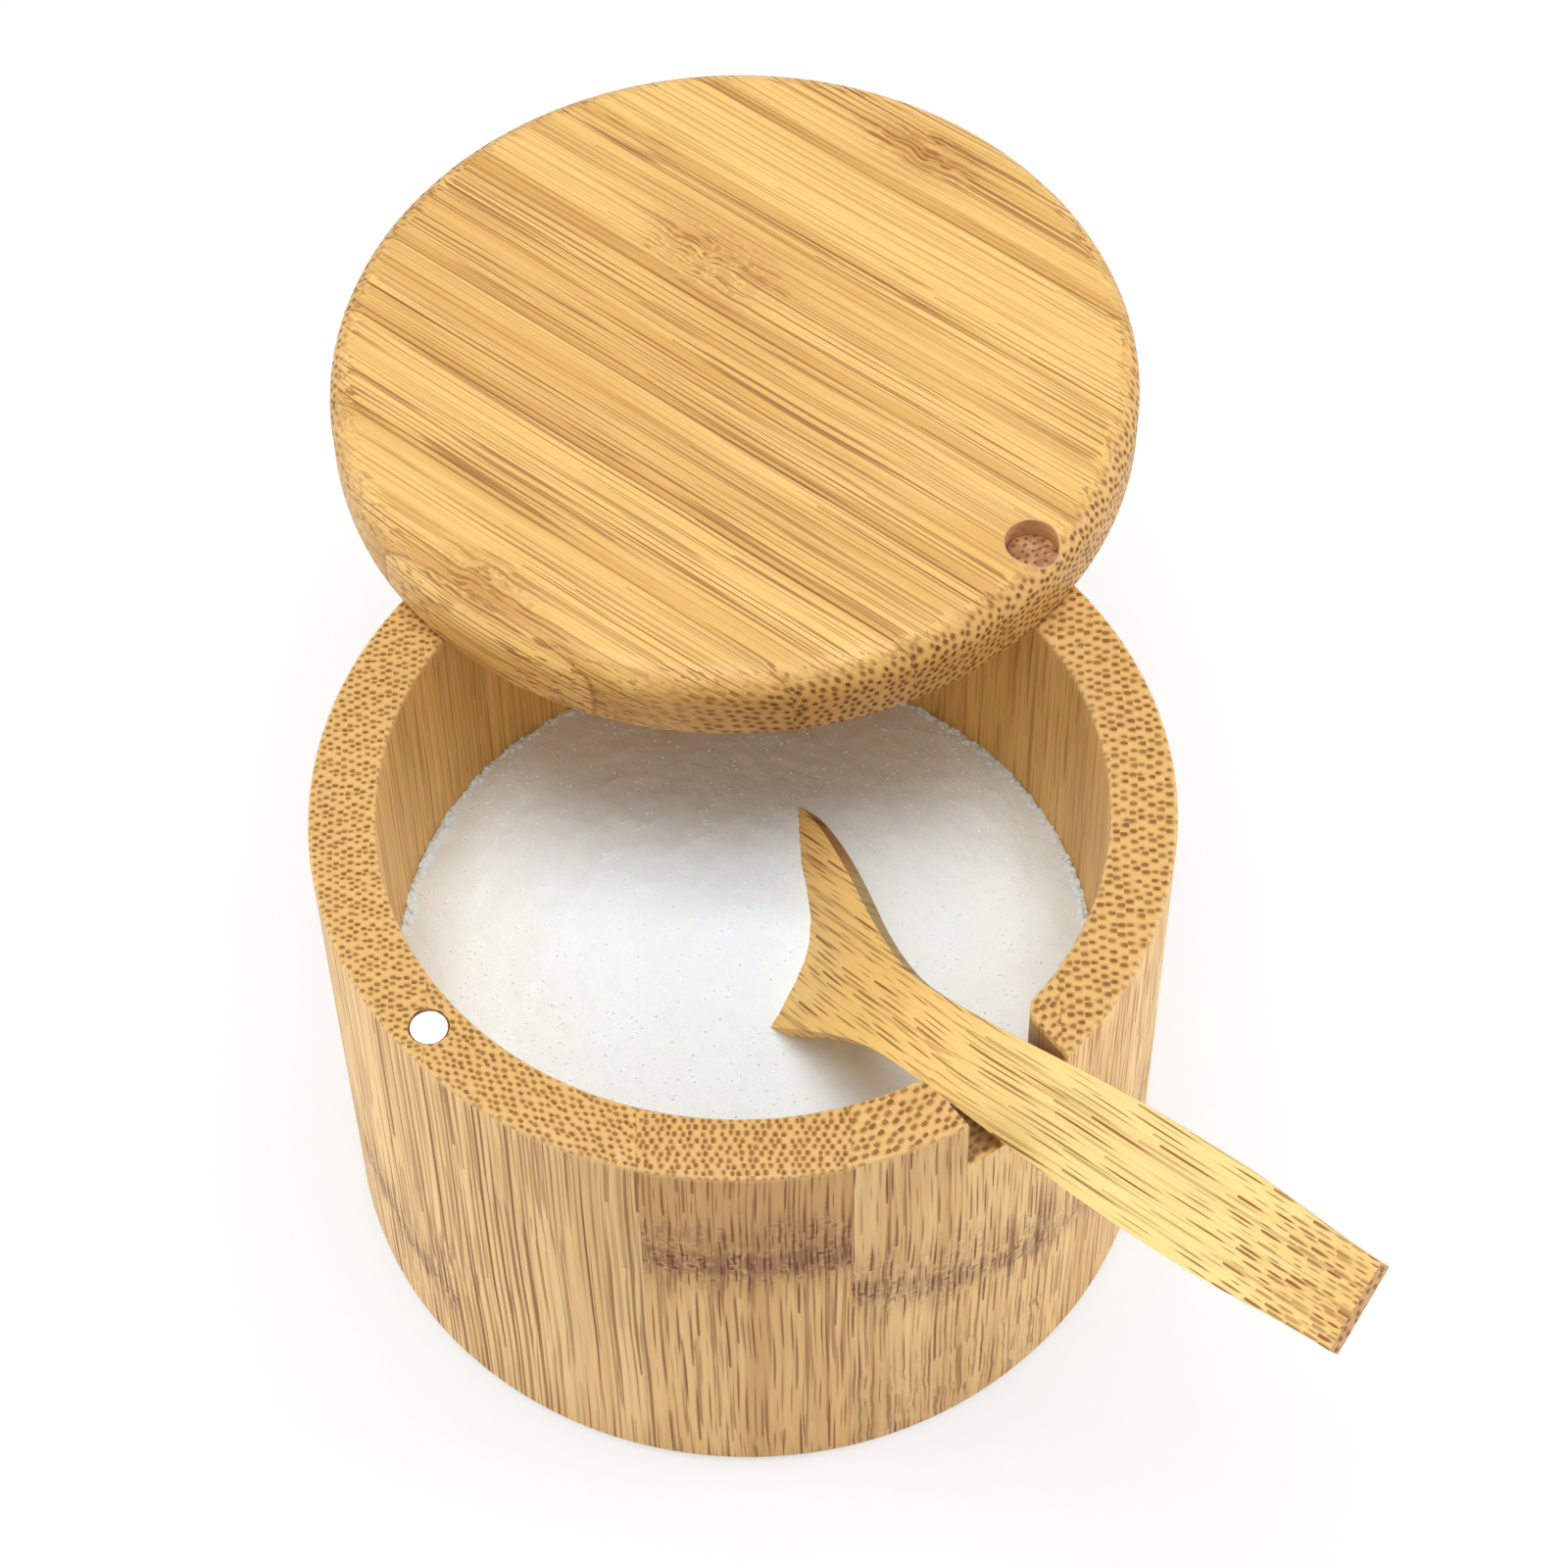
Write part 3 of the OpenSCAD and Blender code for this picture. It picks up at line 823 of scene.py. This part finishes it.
def lid_bamboo():
    material, nodes, shader = new_material("bamboo_flat", Specular_IOR_Level=0.4)
    along, across, rising = nodes.split(local_mm(nodes, (0, 0, lid_z), (0, 0, GRAIN)))
    strip, seam = strips(nodes, across, LID_SEAMS)
    point = nodes.join(across, rising, along)
    tone = nodes.luck(strip, 5.0, 2.0) * 0.25 + (beside_seams(nodes, across, LID_SEAMS) * 0.5 + 0.28)
    swirl = 0.0
    for side, forward, size in LID_SWIRLS:
        away = nodes.length((point + (-side, -SWIRL_HEIGHT, -forward)) * (1.0, 0.3, 0.45))
        swirl = nodes.larger(swirl, away.fall(size * 0.3, size * 1.5, 0.8))
    end = abs(facing(nodes, "end_grain")).rise(0.25, 0.75)
    lined = nodes.noise(point * (0.17, 0.0, 0.007) + (7.0, 0.0, 3.0), detail=1.0).rise(0.4, 0.58)
    look = nodes.group(
        bamboo, Vector=point, Flat=nodes.join(along * (1 / 300), rising * 0.8 + across, 0.0),
        Strip=strip, Tone=tone, End=end, Node=swirl,
        Seam=seam * (1.0 - end * 0.7) * (nodes.luck(strip, 1.0, 4.0) * 0.8 + 0.4),
        Pitch_X=1.02, Pitch_Y=0.84, Radius=0.225, Oval=0.72,
        Fleck_Gap=0.7, Fleck_Step=0.22, Fleck_Width=0.115, Fleck_Depth=lined * 0.65 + 0.3,
        Lines=lined * 0.4 + (swirl * 0.5 + 0.3), Wander=1.0, Swirl=1.1,
        Pale=nodes.blend(end, shade(236, 193, 116), shade(200, 150, 78)),
        Deep=nodes.blend(end, shade(202, 151, 78), shade(162, 114, 52)),
        Web=nodes.blend(end, shade(246, 206, 124), shade(226, 178, 104)),
        Fibre=nodes.blend(end, shade(122, 66, 12), shade(90, 52, 18)),
        Knot=shade(176, 122, 58),
    )
    in_hole = nodes.length(local_mm(nodes, tuple(PIVOT)) * (1, 1, 0))
    in_hole = in_hole.fall(hole_r / MM + 0.12, hole_r / MM + 0.3, 0.75)
    colour = nodes.blend(in_hole, look["Color"], shade(208, 158, 112))
    dress(nodes, shader, colour, look["Roughness"], look["Height"], 0.06 * MM)
    return material


finished(lid, "lid", "lid", lid_bamboo())

# %% [markdown]
# ## Pin, plug and magnets
# A wooden plug closes the pin's hole a little below the lid's top, with a slightly domed face. The magnets
# are bright nickel discs with a small chamfer, set in pockets that leave a thin dark ring round them.
# %% A disc with eased edges


def disc(name, low, high, centre, radius, edge, dome=0.0):
    """A short round piece with eased edges and, if asked, a crowned top."""

    def on_rim(v):
        return abs(math.hypot(v.co.x - centre[0], v.co.y - centre[1]) - radius) < 0.02 * MM

    piece = rod(name, radius, low, high, centre)
    open_mesh(piece)
    pick(piece, "faces", lambda f: f.normal.z > 0.9)
    bpy.ops.mesh.inset(thickness=radius * 0.45)
    bpy.ops.transform.translate(value=(0, 0, dome))
    pick(
        piece, "edges",
        lambda e: all(on_rim(v) for v in e.verts)
        and abs(e.verts[0].co.z - e.verts[1].co.z) < 0.01 * MM,
    )
    bevel(edge, 3)
    close_mesh()
    smooth(piece)
    return piece


# %% [markdown]
# The plug is a slice of stalk seen from its cut end, mottled by glue and handling, with a painted shade
# along the side that the hole's wall shades most. The metals are turned or plated, with faint rings from
# the lathe.
# %% Make the plug, the two magnets and the pin
DISC_GAP = 0.02 * MM
DOME = 0.1 * MM


def plug_wood():
    material, nodes, shader = new_material("plug_end_grain", Specular_IOR_Level=0.3)
    point = local_mm(nodes, tuple(PIVOT))
    core = nodes.group(
        ovals, Vector=point, Pitch_X=1.0, Pitch_Y=0.85, Radius=0.22, Oval=0.8, Spread=0.3, Seed=4.0
    )["Core"]
    mottled = nodes.noise(point, scale=0.9, detail=3.0)
    colour = nodes.blend(mottled.rise(0.35, 0.65), shade(205, 158, 112), shade(160, 112, 76))
    colour = nodes.blend(core * 0.8, colour, shade(112, 70, 44))
    # Painted shadow of the hole's wall: a dark crescent along the plug's edge, on the side towards the
    # camera and to its left.
    edge = nodes.length(point * (1, 1, 0) + tuple(toward - right * 0.6))
    colour = nodes.blend(edge.rise(2.4, 3.4, 0.0, 0.85), colour, shade(84, 50, 42))
    dress(nodes, shader, colour, mottled * 0.2 + 0.5, mottled - core, 0.08 * MM)
    return material


def bright_metal(name, colour, roughness, brushed):
    """Plated or turned metal: faint rings from the lathe and a little unevenness in the gloss."""
    material, nodes, shader = new_material(name, Metallic=1.0)
    fine = nodes.noise(local_mm(nodes) * (brushed, brushed, 9.0), detail=3.0)
    duller = tuple(c * 0.9 for c in colour[:3]) + (1.0,)
    dress(nodes, shader, nodes.blend(fine, colour, duller), fine * 0.15 + roughness)
    return material


plug = disc(
    "pivot_plug_face", plug_low.z, plug_high.z - DOME, (0, PIVOT.y), hole_r - DISC_GAP, 0.12 * MM, DOME
)
swing_open(plug)
finished(plug, "lid", "pivot_plug", plug_wood())

nickel = bright_metal("bright_nickel", shade(246, 247, 248), 0.22, 6.0)
for name, node, body, low, high in (
    ("rim_magnet_disc", "rim_magnet", "box", magnet_low, magnet_high),
    ("lid_magnet_disc", "lid_magnet", "lid", lid_magnet_low, lid_magnet_high),
):
    magnet = disc(name, low.z, high.z, (0, magnet_y), MAGNET_R - DISC_GAP, 0.15 * MM)
    if body == "lid":
        swing_open(magnet)
    finished(magnet, body, node, nickel)

HEAD_GAP = 0.1 * MM
head_r = (head_high.x - head_low.x) / 2
head_z = web_z + HEAD_GAP
pin = disc("pin_shank", head_low.z, head_z + HEAD_GAP, (0, PIVOT.y), PIN_R, 0.2 * MM)
combine(pin, disc("pin_head", head_z, head_high.z, (0, PIVOT.y), head_r, 0.25 * MM), "UNION")
pin.name = "pivot_pin_turned"
smooth(pin)
steel = bright_metal("turned_steel", shade(205, 206, 208), 0.3, 14.0)
finished(pin, "box", "pivot_pin", steel)

# %% [markdown]
# ## The spoon
# The spoon is sawn from a thin strip of bamboo: a flat handle that swells and narrows, a slim neck that
# dips, and a wide flat bowl. It starts as one narrow strip and is extruded step by step from the cut end
# to the bowl's nose, each step a little wider or narrower. Then it is cut lengthwise, its hollow is pressed
# in with a soft selection, and it gets its thickness and its eased edges.
# %% Widths and fall along the spoon
HANDLE_L = 42.3 * MM
HANDLE_W = 11.6 * MM
HANDLE_END_W = 9.6 * MM
NECK_W = 8.4 * MM
BOWL_W = 26 * MM
BOWL_REACH = 67 * MM
SPOON_T = 1.9 * MM
NECK_BEND = math.radians(23)
BEND_START = 11.5 * MM
BEND_L = 10.5 * MM
FLARE_START = 18 * MM
FLARE_L = 42 * MM
NOSE_L = 9 * MM
NOSE_LEAST = 0.14
SWELL_IN = 16 * MM
SWELL_OUT = 22 * MM


def ease(t):
    """A smooth step from 0 to 1."""
    t = min(1.0, max(0.0, t))
    return t * t * (3 - 2 * t)


def spoon_width(s):
    """The spoon's width at distance s from the notch, outwards positive."""
    if s > SWELL_OUT:
        width = HANDLE_W + (HANDLE_END_W - HANDLE_W) * ease((s - SWELL_OUT) / (HANDLE_L - SWELL_OUT))
    elif s > -FLARE_START:
        width = NECK_W + (HANDLE_W - NECK_W) * ease((s + FLARE_START) / (SWELL_IN + FLARE_START))
    else:
        width = NECK_W + (BOWL_W - NECK_W) * ease((-s - FLARE_START) / FLARE_L)
    into_nose = (-s - (BOWL_REACH - NOSE_L)) / NOSE_L
    if into_nose > 0:
        width *= max(NOSE_LEAST, math.sqrt(max(0.0, 1 - into_nose**2)))
    return width


def spoon_line(s):
    """Where the spoon's middle line is at distance s, as (x, z)."""
    if s >= -BEND_START:
        return s, 0.0
    fall = NECK_BEND * min(1.0, (-s - BEND_START) / BEND_L)
    bend_r = BEND_L / NECK_BEND
    beyond = max(0.0, -s - BEND_START - BEND_L)
    x = -BEND_START - bend_r * math.sin(fall) - beyond * math.cos(fall)
    z = -bend_r * (1 - math.cos(fall)) - beyond * math.sin(fall)
    return x, z


# %% Extrude the strip, press the hollow and thicken it
STEP = 2 * MM
NOSE_STEPS = 7
CROSS_CUTS = 11
END_GAP = 0.2 * MM
# Where the hollow is pressed in, as a distance from the notch, and how deep.
DISHES = ((-44 * MM, 1.3 * MM), (-52 * MM, 1.7 * MM), (-58 * MM, 1.0 * MM))
DISH_REACH = 12.5 * MM
steps = int((HANDLE_L + BOWL_REACH - NOSE_L) / STEP) + 1
stations = [HANDLE_L - END_GAP - STEP * i for i in range(steps)]
nose_start = stations[-1]
nose_run = BOWL_REACH + nose_start
stations += [
    nose_start - nose_run * math.sin(math.radians(90) * i / NOSE_STEPS) * 0.997
    for i in range(1, NOSE_STEPS + 1)
]
first, second = stations[:2]
bpy.ops.mesh.primitive_plane_add(size=1, location=((first + second) / 2, 0, 0))
bpy.context.object.scale = (first - second, spoon_width(first), 1)
spoon = added("bamboo_spoon")
open_mesh(spoon)
pick(spoon, "edges", lambda e: all(v.co.x < (first + second) / 2 for v in e.verts))
for before, after in zip(stations[1:], stations[2:]):
    x0, z0 = spoon_line(before)
    x1, z1 = spoon_line(after)
    extrude(x1 - x0, 0, z1 - z0)
    bpy.ops.transform.resize(value=(1, spoon_width(after) / spoon_width(before), 1))
crossing = pick(spoon, "edges", lambda e: abs(e.verts[0].co.x - e.verts[1].co.x) < 0.01 * MM)
bpy.ops.mesh.subdivide(number_cuts=CROSS_CUTS)
for at, depth in DISHES:
    x, z = spoon_line(at)
    down = Vector((-math.sin(NECK_BEND), 0, math.cos(NECK_BEND))) * -depth
    pick_nearest(spoon, Vector((x, 0, z)), lambda off: off.length)
    push(down, DISH_REACH, "SMOOTH")
close_mesh()
modify(spoon, "SOLIDIFY", thickness=SPOON_T, offset=0, use_even_offset=True)
modify(spoon, "BEVEL", width=0.3 * MM, segments=2, limit_method="ANGLE", angle_limit=math.radians(50))
modify(spoon, "SUBSURF", levels=1, render_levels=1)
print("spoon crossings", crossing, "faces", len(spoon.data.polygons))

# %% [markdown]
# The spoon is modelled lying flat along X, and then rolled, raised and turned into the notch, where its
# left edge rests. The same place and turn are given to its material, so that its grain follows the handle.
# %% Lay the spoon in the notch
SPOON_ROLL = math.radians(31)
SPOON_AT = Vector((45.513, -0.928, 60.18)) * MM
axis = Vector(slide["axis"]).normalized()
tilt = Euler((SPOON_ROLL, -math.asin(axis.z), math.atan2(axis.y, axis.x)), "XYZ")
spoon.matrix_world = Matrix.Translation(SPOON_AT) @ tilt.to_matrix().to_4x4()
apply_place(spoon)
smooth(spoon, 45)
mark_facing(spoon, "end_grain", axis)
mark_facing(spoon, "flank", tilt.to_matrix().col[1])
spoon_low, spoon_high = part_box("spoon")
for way in "xz":
    reach = [getattr(v.co, way) for v in spoon.data.vertices]
    solid = getattr(spoon_low, way), getattr(spoon_high, way)
    print("spoon", way, min(reach), max(reach), "solid", solid)

# %% [markdown]
# The spoon's strip of bamboo is split along its length, so the flecks run down the handle and crowd
# together towards the sawn end. The grain follows the bend of the neck, and the side edge gets salt dust
# and painted shade.
# %% The spoon's bamboo
SPOON_PALE, SPOON_DEEP = shade(244, 214, 138), shade(226, 182, 108)
BOWL_PALE, BOWL_WEB = shade(240, 202, 122), shade(240, 200, 120)


def above_neck(nodes, along, rising):
    """How far a point lies above the spoon's middle line, which bends down at the neck."""
    inward = nodes.larger(-BEND_START / MM - along, 0.0)
    bent = nodes.smaller(inward, BEND_L / MM)
    straight = (inward - bent) * math.tan(NECK_BEND)
    curved = bent * bent * (NECK_BEND * MM / (2 * BEND_L))
    return rising + (straight + curved)


def spoon_bamboo():
    material, nodes, shader = new_material("bamboo_handle", Specular_IOR_Level=0.35)
    along, across, rising = nodes.split(local_mm(nodes, tuple(SPOON_AT), tuple(tilt)))
    end = abs(facing(nodes, "end_grain")).rise(0.6, 0.95) * along.rise(30.0, 38.0)
    to_end = along.rise(24.0, 42.0)
    in_bowl = along.fall(-14.0, 9.0)
    near_end = nodes.larger(along - 22.0, 0.0)
    bowl_flecks = nodes.smaller(along + 12.0, 0.0) * (1 / 60)
    drawn_out = along * (1 / 33) + (near_end * near_end * (1 / 220) + bowl_flecks)
    wrapped = above_neck(nodes, along, rising) * along.rise(-22.0, -6.0, 0.1, 0.8)
    pale = nodes.blend(in_bowl, SPOON_PALE, BOWL_PALE)
    web = nodes.blend(in_bowl, shade(248, 222, 148), BOWL_WEB)
    look = nodes.group(
        bamboo, Vector=nodes.join(across, wrapped, along),
        Flat=nodes.join(drawn_out, wrapped + across, 0.0), Strip=3.0, Tone=to_end * 0.6 + 0.15,
        End=end, Node=0.0, Seam=0.0, Pitch_X=1.1, Pitch_Y=0.9, Radius=0.26, Oval=0.85,
        Fleck_Gap=0.56, Fleck_Step=0.36, Fleck_Width=to_end * 0.1 + 0.15, Fleck_Depth=0.95,
        Lines=0.4, Wander=0.9, Swirl=0.35,
        Pale=nodes.blend(end, pale, shade(206, 158, 108)),
        Deep=nodes.blend(end, SPOON_DEEP, shade(184, 134, 88)),
        Web=nodes.blend(end, web, shade(220, 174, 122)),
        Fibre=nodes.blend(to_end, shade(140, 90, 28), shade(144, 88, 44)),
        Knot=shade(150, 100, 60),
    )
    # Salt dust and painted shade on the spoon's side that faces the salt: grey along the bowl, dark brown
    # towards the nose.
    dust_and_shade = facing(nodes, "flank").rise(0.3, 0.75) * along.rise(-22.0, -10.0, 0.75, 0.25)
    dust_and_shade_colour = nodes.blend(along.rise(-46.0, -38.0), shade(120, 78, 34), shade(150, 140, 112))
    colour = nodes.blend(dust_and_shade, look["Color"], dust_and_shade_colour)
    dress(nodes, shader, colour, look["Roughness"], look["Height"], 0.05 * MM)
    return material


finished(spoon, "spoon", "spoon", spoon_bamboo())

# %% [markdown]
# ## The salt
# Fine salt heaps softly and keeps the marks of what touched it. A fine grid is raised to a heap with soft
# selections, as clay would be pushed with a thumb: up in the middle, up over the spoon's left side and
# down along its right. Noise then gives it lumps and grains, and it is cut round to fill the bore.
# %% Raise the heap
CELLS = 190
HEAP_FALL = 7.2 * MM
HEAP_REACH = 46 * MM
HEAP_PAST_BORE = 1.5 * MM
heap_r = BORE_R + HEAP_PAST_BORE
heap_lift = HEAP_FALL * (HEAP_REACH / BORE_R) ** 2
wall_z = salt_high.z - heap_lift
# Each push in millimetres: its place, how far up, how wide, and how it fades.
PUSHES = (
    (-4, 0, heap_lift / MM, HEAP_REACH / MM, "INVERSE_SQUARE"),
    (4, -3, 0.9, 13, "SMOOTH"),
    (-7, 14, 0.5, 7, "SMOOTH"),
    (10, 14, -1.0, 12, "SMOOTH"),
    (16, -9, -0.6, 8, "SMOOTH"),
    (-18, -14, 0.5, 16, "SMOOTH"),
)
# Each noise in millimetres: its name, its size and its depth.
ROUGHNESS = (("lumps", 9, 0.7), ("clots", 2.4, 0.42), ("grains", 0.8, 0.2))
bpy.ops.mesh.primitive_grid_add(
    x_subdivisions=CELLS, y_subdivisions=CELLS, size=2 * heap_r, location=(0, 0, wall_z)
)
salt = added("salt_heap")
open_mesh(salt)
for at_x, at_y, lift, reach, falloff in PUSHES:
    pick_nearest(salt, Vector((at_x, at_y, 0)) * MM, lambda off: off.xy.length)
    push((0, 0, lift * MM), reach * MM, falloff, use_proportional_projected=False)
close_mesh()
for name, size, strength in ROUGHNESS:
    texture = bpy.data.textures.new(name, "CLOUDS")
    texture.noise_scale = size * MM
    texture.noise_depth = 2
    modify(
        salt, "DISPLACE", texture=texture, strength=strength * MM, mid_level=0.5, direction="Z",
        texture_coords="LOCAL",
    )

# %% Close the heap and cut it round
HEAP_SKIRT = 60 * MM
BELOW_FLOOR = 10 * MM
open_mesh(salt)
bpy.ops.mesh.select_all(action="SELECT")
extrude(0, 0, -HEAP_SKIRT)
bpy.ops.transform.resize(value=(1, 1, 0), center_override=(0, 0, -BELOW_FLOOR))
face_outwards()
close_mesh()
combine(salt, rod("salt_bore", BORE_R - 0.03 * MM, FLOOR_Z + 0.05 * MM, BODY_H, sides=ROUND), "INTERSECT")
smooth(salt, 60)
heights = [v.co.z for v in salt.data.vertices]
print("salt from", min(heights), "to", max(heights), "faces", len(salt.data.polygons))

# %% [markdown]
# Salt is white because its grains scatter light, so its colour hardly changes over the heap. A fine noise
# gives the sparkle through the roughness and the relief, and a slow one the faint drifts.
# %% The salt's material


def salt_white():
    material, nodes, shader = new_material("fine_salt", Specular_IOR_Level=0.12)
    point = local_mm(nodes)
    grains = nodes.noise(point, scale=2.2, detail=3.0, roughness=0.7)
    drifts = nodes.noise(point, scale=0.16, detail=2.0)
    colour = nodes.blend(grains.rise(0.35, 0.7), shade(234, 247, 255), shade(240, 250, 255))
    colour = nodes.blend(drifts * 0.25, colour, shade(238, 244, 250))
    dress(nodes, shader, colour, grains.rise(0.3, 0.7, 0.85, 0.6), grains, 0.15 * MM, 0.45)
    return material


fine_salt = salt_white()
finished(salt, "box", "salt_fill", fine_salt)

# %% [markdown]
# Close up, salt is cubes. A geometry node tree scatters copies of one tiny worn cube over the heap, each
# turned and sized by chance with a fixed seed, and is applied as a modifier, so that the grains are mesh
# like the rest. They lie thin on the heap and thick along the wall, where the heap crumbles.
# %% Scatter loose grains
GRAIN_SIDE = 0.28 * MM
SMALLEST = 0.45
FULL_TURN = 6.3
bpy.ops.mesh.primitive_cube_add(size=GRAIN_SIDE)
grain = added("salt_grain")
modify(grain, "BEVEL", width=0.05 * MM, segments=1)


def scatter_grains(name, per_mm2, largest, seed, spread):
    """Loose grains over the faces of the heap that pass a test, as one mesh."""
    only(salt)
    bpy.ops.object.duplicate()
    loose = bpy.context.object
    loose.name = name
    open_mesh(loose)
    pick(loose, "faces", lambda f: not spread(f))
    bpy.ops.mesh.delete(type="FACE")
    close_mesh()
    tree = bpy.data.node_groups.new(name + "_scatter", "GeometryNodeTree")
    for way in ("INPUT", "OUTPUT"):
        tree.interface.new_socket("Geometry", in_out=way, socket_type="NodeSocketGeometry")
    start, points, cube, turn, size, place, real, end = [
        tree.nodes.new(kind)
        for kind in (
            "NodeGroupInput", "GeometryNodeDistributePointsOnFaces", "GeometryNodeObjectInfo",
            "FunctionNodeRandomValue", "FunctionNodeRandomValue", "GeometryNodeInstanceOnPoints",
            "GeometryNodeRealizeInstances", "NodeGroupOutput",
        )
    ]
    turn.data_type = "FLOAT_VECTOR"
    for node, socket, value in (
        (points, "Density", per_mm2 / (MM * MM)),
        (points, "Seed", seed),
        (cube, "Object", grain),
        (turn, 1, (FULL_TURN, FULL_TURN, FULL_TURN)),
        (size, 2, SMALLEST),
        (size, 3, largest),
    ):
        node.inputs[socket].default_value = value
    for source, socket, target, into in (
        (start, 0, points, "Mesh"),
        (points, "Points", place, "Points"),
        (cube, "Geometry", place, "Instance"),
        (turn, 0, place, "Rotation"),
        (size, 1, place, "Scale"),
        (place, 0, real, 0),
        (real, 0, end, 0),
    ):
        tree.links.new(source.outputs[socket], target.inputs[into])
    modify(loose, "NODES", node_group=tree)
    finished(loose, "box", None, fine_salt)


def on_heap(face):
    return face.normal.z > 0.5 and face.calc_center_median().xy.length < BORE_R - 0.3 * MM


def at_wall(face):
    return face.normal.z > 0.2 and face.calc_center_median().xy.length > BORE_R - 0.9 * MM


scatter_grains("loose_salt", 0.4, 1.1, 3, on_heap)
scatter_grains("wall_salt", 5.0, 2.6, 5, at_wall)
bpy.data.objects.remove(grain)

# %% [markdown]
# ## Floor and light
# The photograph has a plain white ground and soft light from all round, stronger from above. A wide white
# floor catches a soft shadow, and glows white to the camera, wholly so far from the box. The sky is a
# plain pale dome, and large soft lamps above and at both sides give the wood its gentle highlights.
# %% The floor
FLOOR_SIZE = 6
bpy.ops.mesh.primitive_plane_add(size=FLOOR_SIZE)
floor = added("floor")
open_mesh(floor)
bpy.ops.mesh.select_all(action="SELECT")
bpy.ops.mesh.subdivide(number_cuts=3)
close_mesh()
paper, nodes, shader = new_material(
    "white_ground", Roughness=0.9, Specular_IOR_Level=0.0, Base_Color=(0.93, 0.93, 0.93, 1)
)
glow = nodes.out("Emission", {"Color": (1, 1, 1, 1), "Strength": 1.0})
share = nodes.length(nodes.out("TexCoord", output="Object")).rise(0.35, 1.2, 0.65, 1.0)
seen = nodes.out("LightPath", output="Is Camera Ray") * share
mixed = nodes.out("MixShader", {0: seen, 1: shader.outputs[0], 2: glow})
surface = next(n for n in paper.node_tree.nodes if n.type == "OUTPUT_MATERIAL")
nodes.feed(surface.inputs["Surface"], mixed)
floor.data.materials.append(paper)

# %% The sky and the lamps
SKY = 0.23
LAMP_AIM = up * 50 * MM
world = bpy.data.worlds.new("studio")
bpy.context.scene.world = world
world.use_nodes = True
sky = Nodes(world.node_tree)
path = sky.add("LightPath").outputs
strength = sky.larger(path["Is Camera Ray"], path["Is Glossy Ray"]).rise(0.0, 1.0, SKY, 1.0)
background = next(n for n in world.node_tree.nodes if n.type == "BACKGROUND")
background.inputs["Color"].default_value = (1, 1, 1, 1)
sky.feed(background.inputs["Strength"], strength)


def softbox(name, place, size, power):
    """A square lamp that faces the box."""
    lamp = bpy.data.lights.new(name, "AREA")
    lamp.shape = "SQUARE"
    lamp.size = size
    lamp.energy = power
    item = bpy.data.objects.new(name, lamp)
    bpy.context.collection.objects.link(item)
    item.location = place
    item.rotation_euler = (LAMP_AIM - place).to_track_quat("-Z", "Y").to_euler()


softbox("lamp_above", toward * -0.02 + up * 1.25, 0.8, 10.9)
softbox("lamp_left", right * -1.0 + up * 0.35 - toward * 0.1, 0.5, 4.2)
softbox("lamp_right", right * 1.0 + up * 0.35 - toward * 0.1, 0.5, 4.5)
softbox("lamp_front", toward * 0.8 + up * 0.95, 0.7, 1.9)
bpy.context.scene.view_settings.view_transform = "Standard"
print("lamps", [light.name for light in bpy.data.lights])
